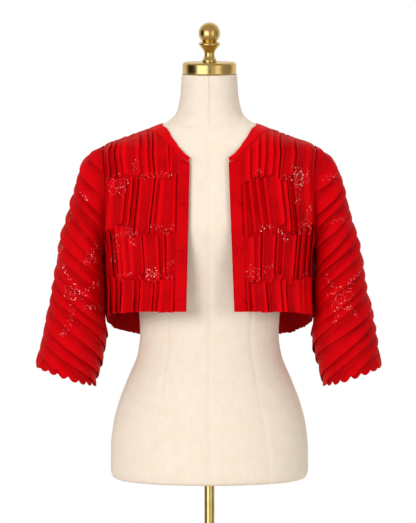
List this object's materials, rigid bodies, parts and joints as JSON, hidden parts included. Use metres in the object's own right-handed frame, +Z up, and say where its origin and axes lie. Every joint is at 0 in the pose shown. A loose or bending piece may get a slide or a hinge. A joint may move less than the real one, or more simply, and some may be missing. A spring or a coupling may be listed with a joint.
{
  "type": "bolero jacket on dress form",
  "caption": "Open bolero jacket of tucked red cloth with long scalloped sleeves, worn by a limbless cream dress form on a brass pole and round base.",
  "frame": {"origin": "centre of the flat underside of the round base", "axes": "+Z up along the pole, -Y out of the front of the form, +X to the wearer's left"},
  "size_m": [0.6068, 0.33, 1.365],
  "materials": {
    "red_cloth": "soft crepe with a slight sheen",
    "red_button": "cloth-covered",
    "cream_linen": "matte plain weave",
    "brass": "polished"
  },
  "bodies": {
    "root": {"front_right": "red_cloth", "front_left": "red_cloth", "back": "red_cloth", "sleeve_right": "red_cloth", "sleeve_left": "red_cloth", "neckband": "red_cloth", "front_band_right": "red_cloth", "front_band_left": "red_cloth", "button_1": "red_button", "button_2": "red_button", "button_3": "red_button", "button_4": "red_button", "form_torso": "cream_linen", "neck_cap": "brass", "neck_finial": "brass", "stand_pole": "brass", "stand_base": "brass"}
  },
  "joints": []
}
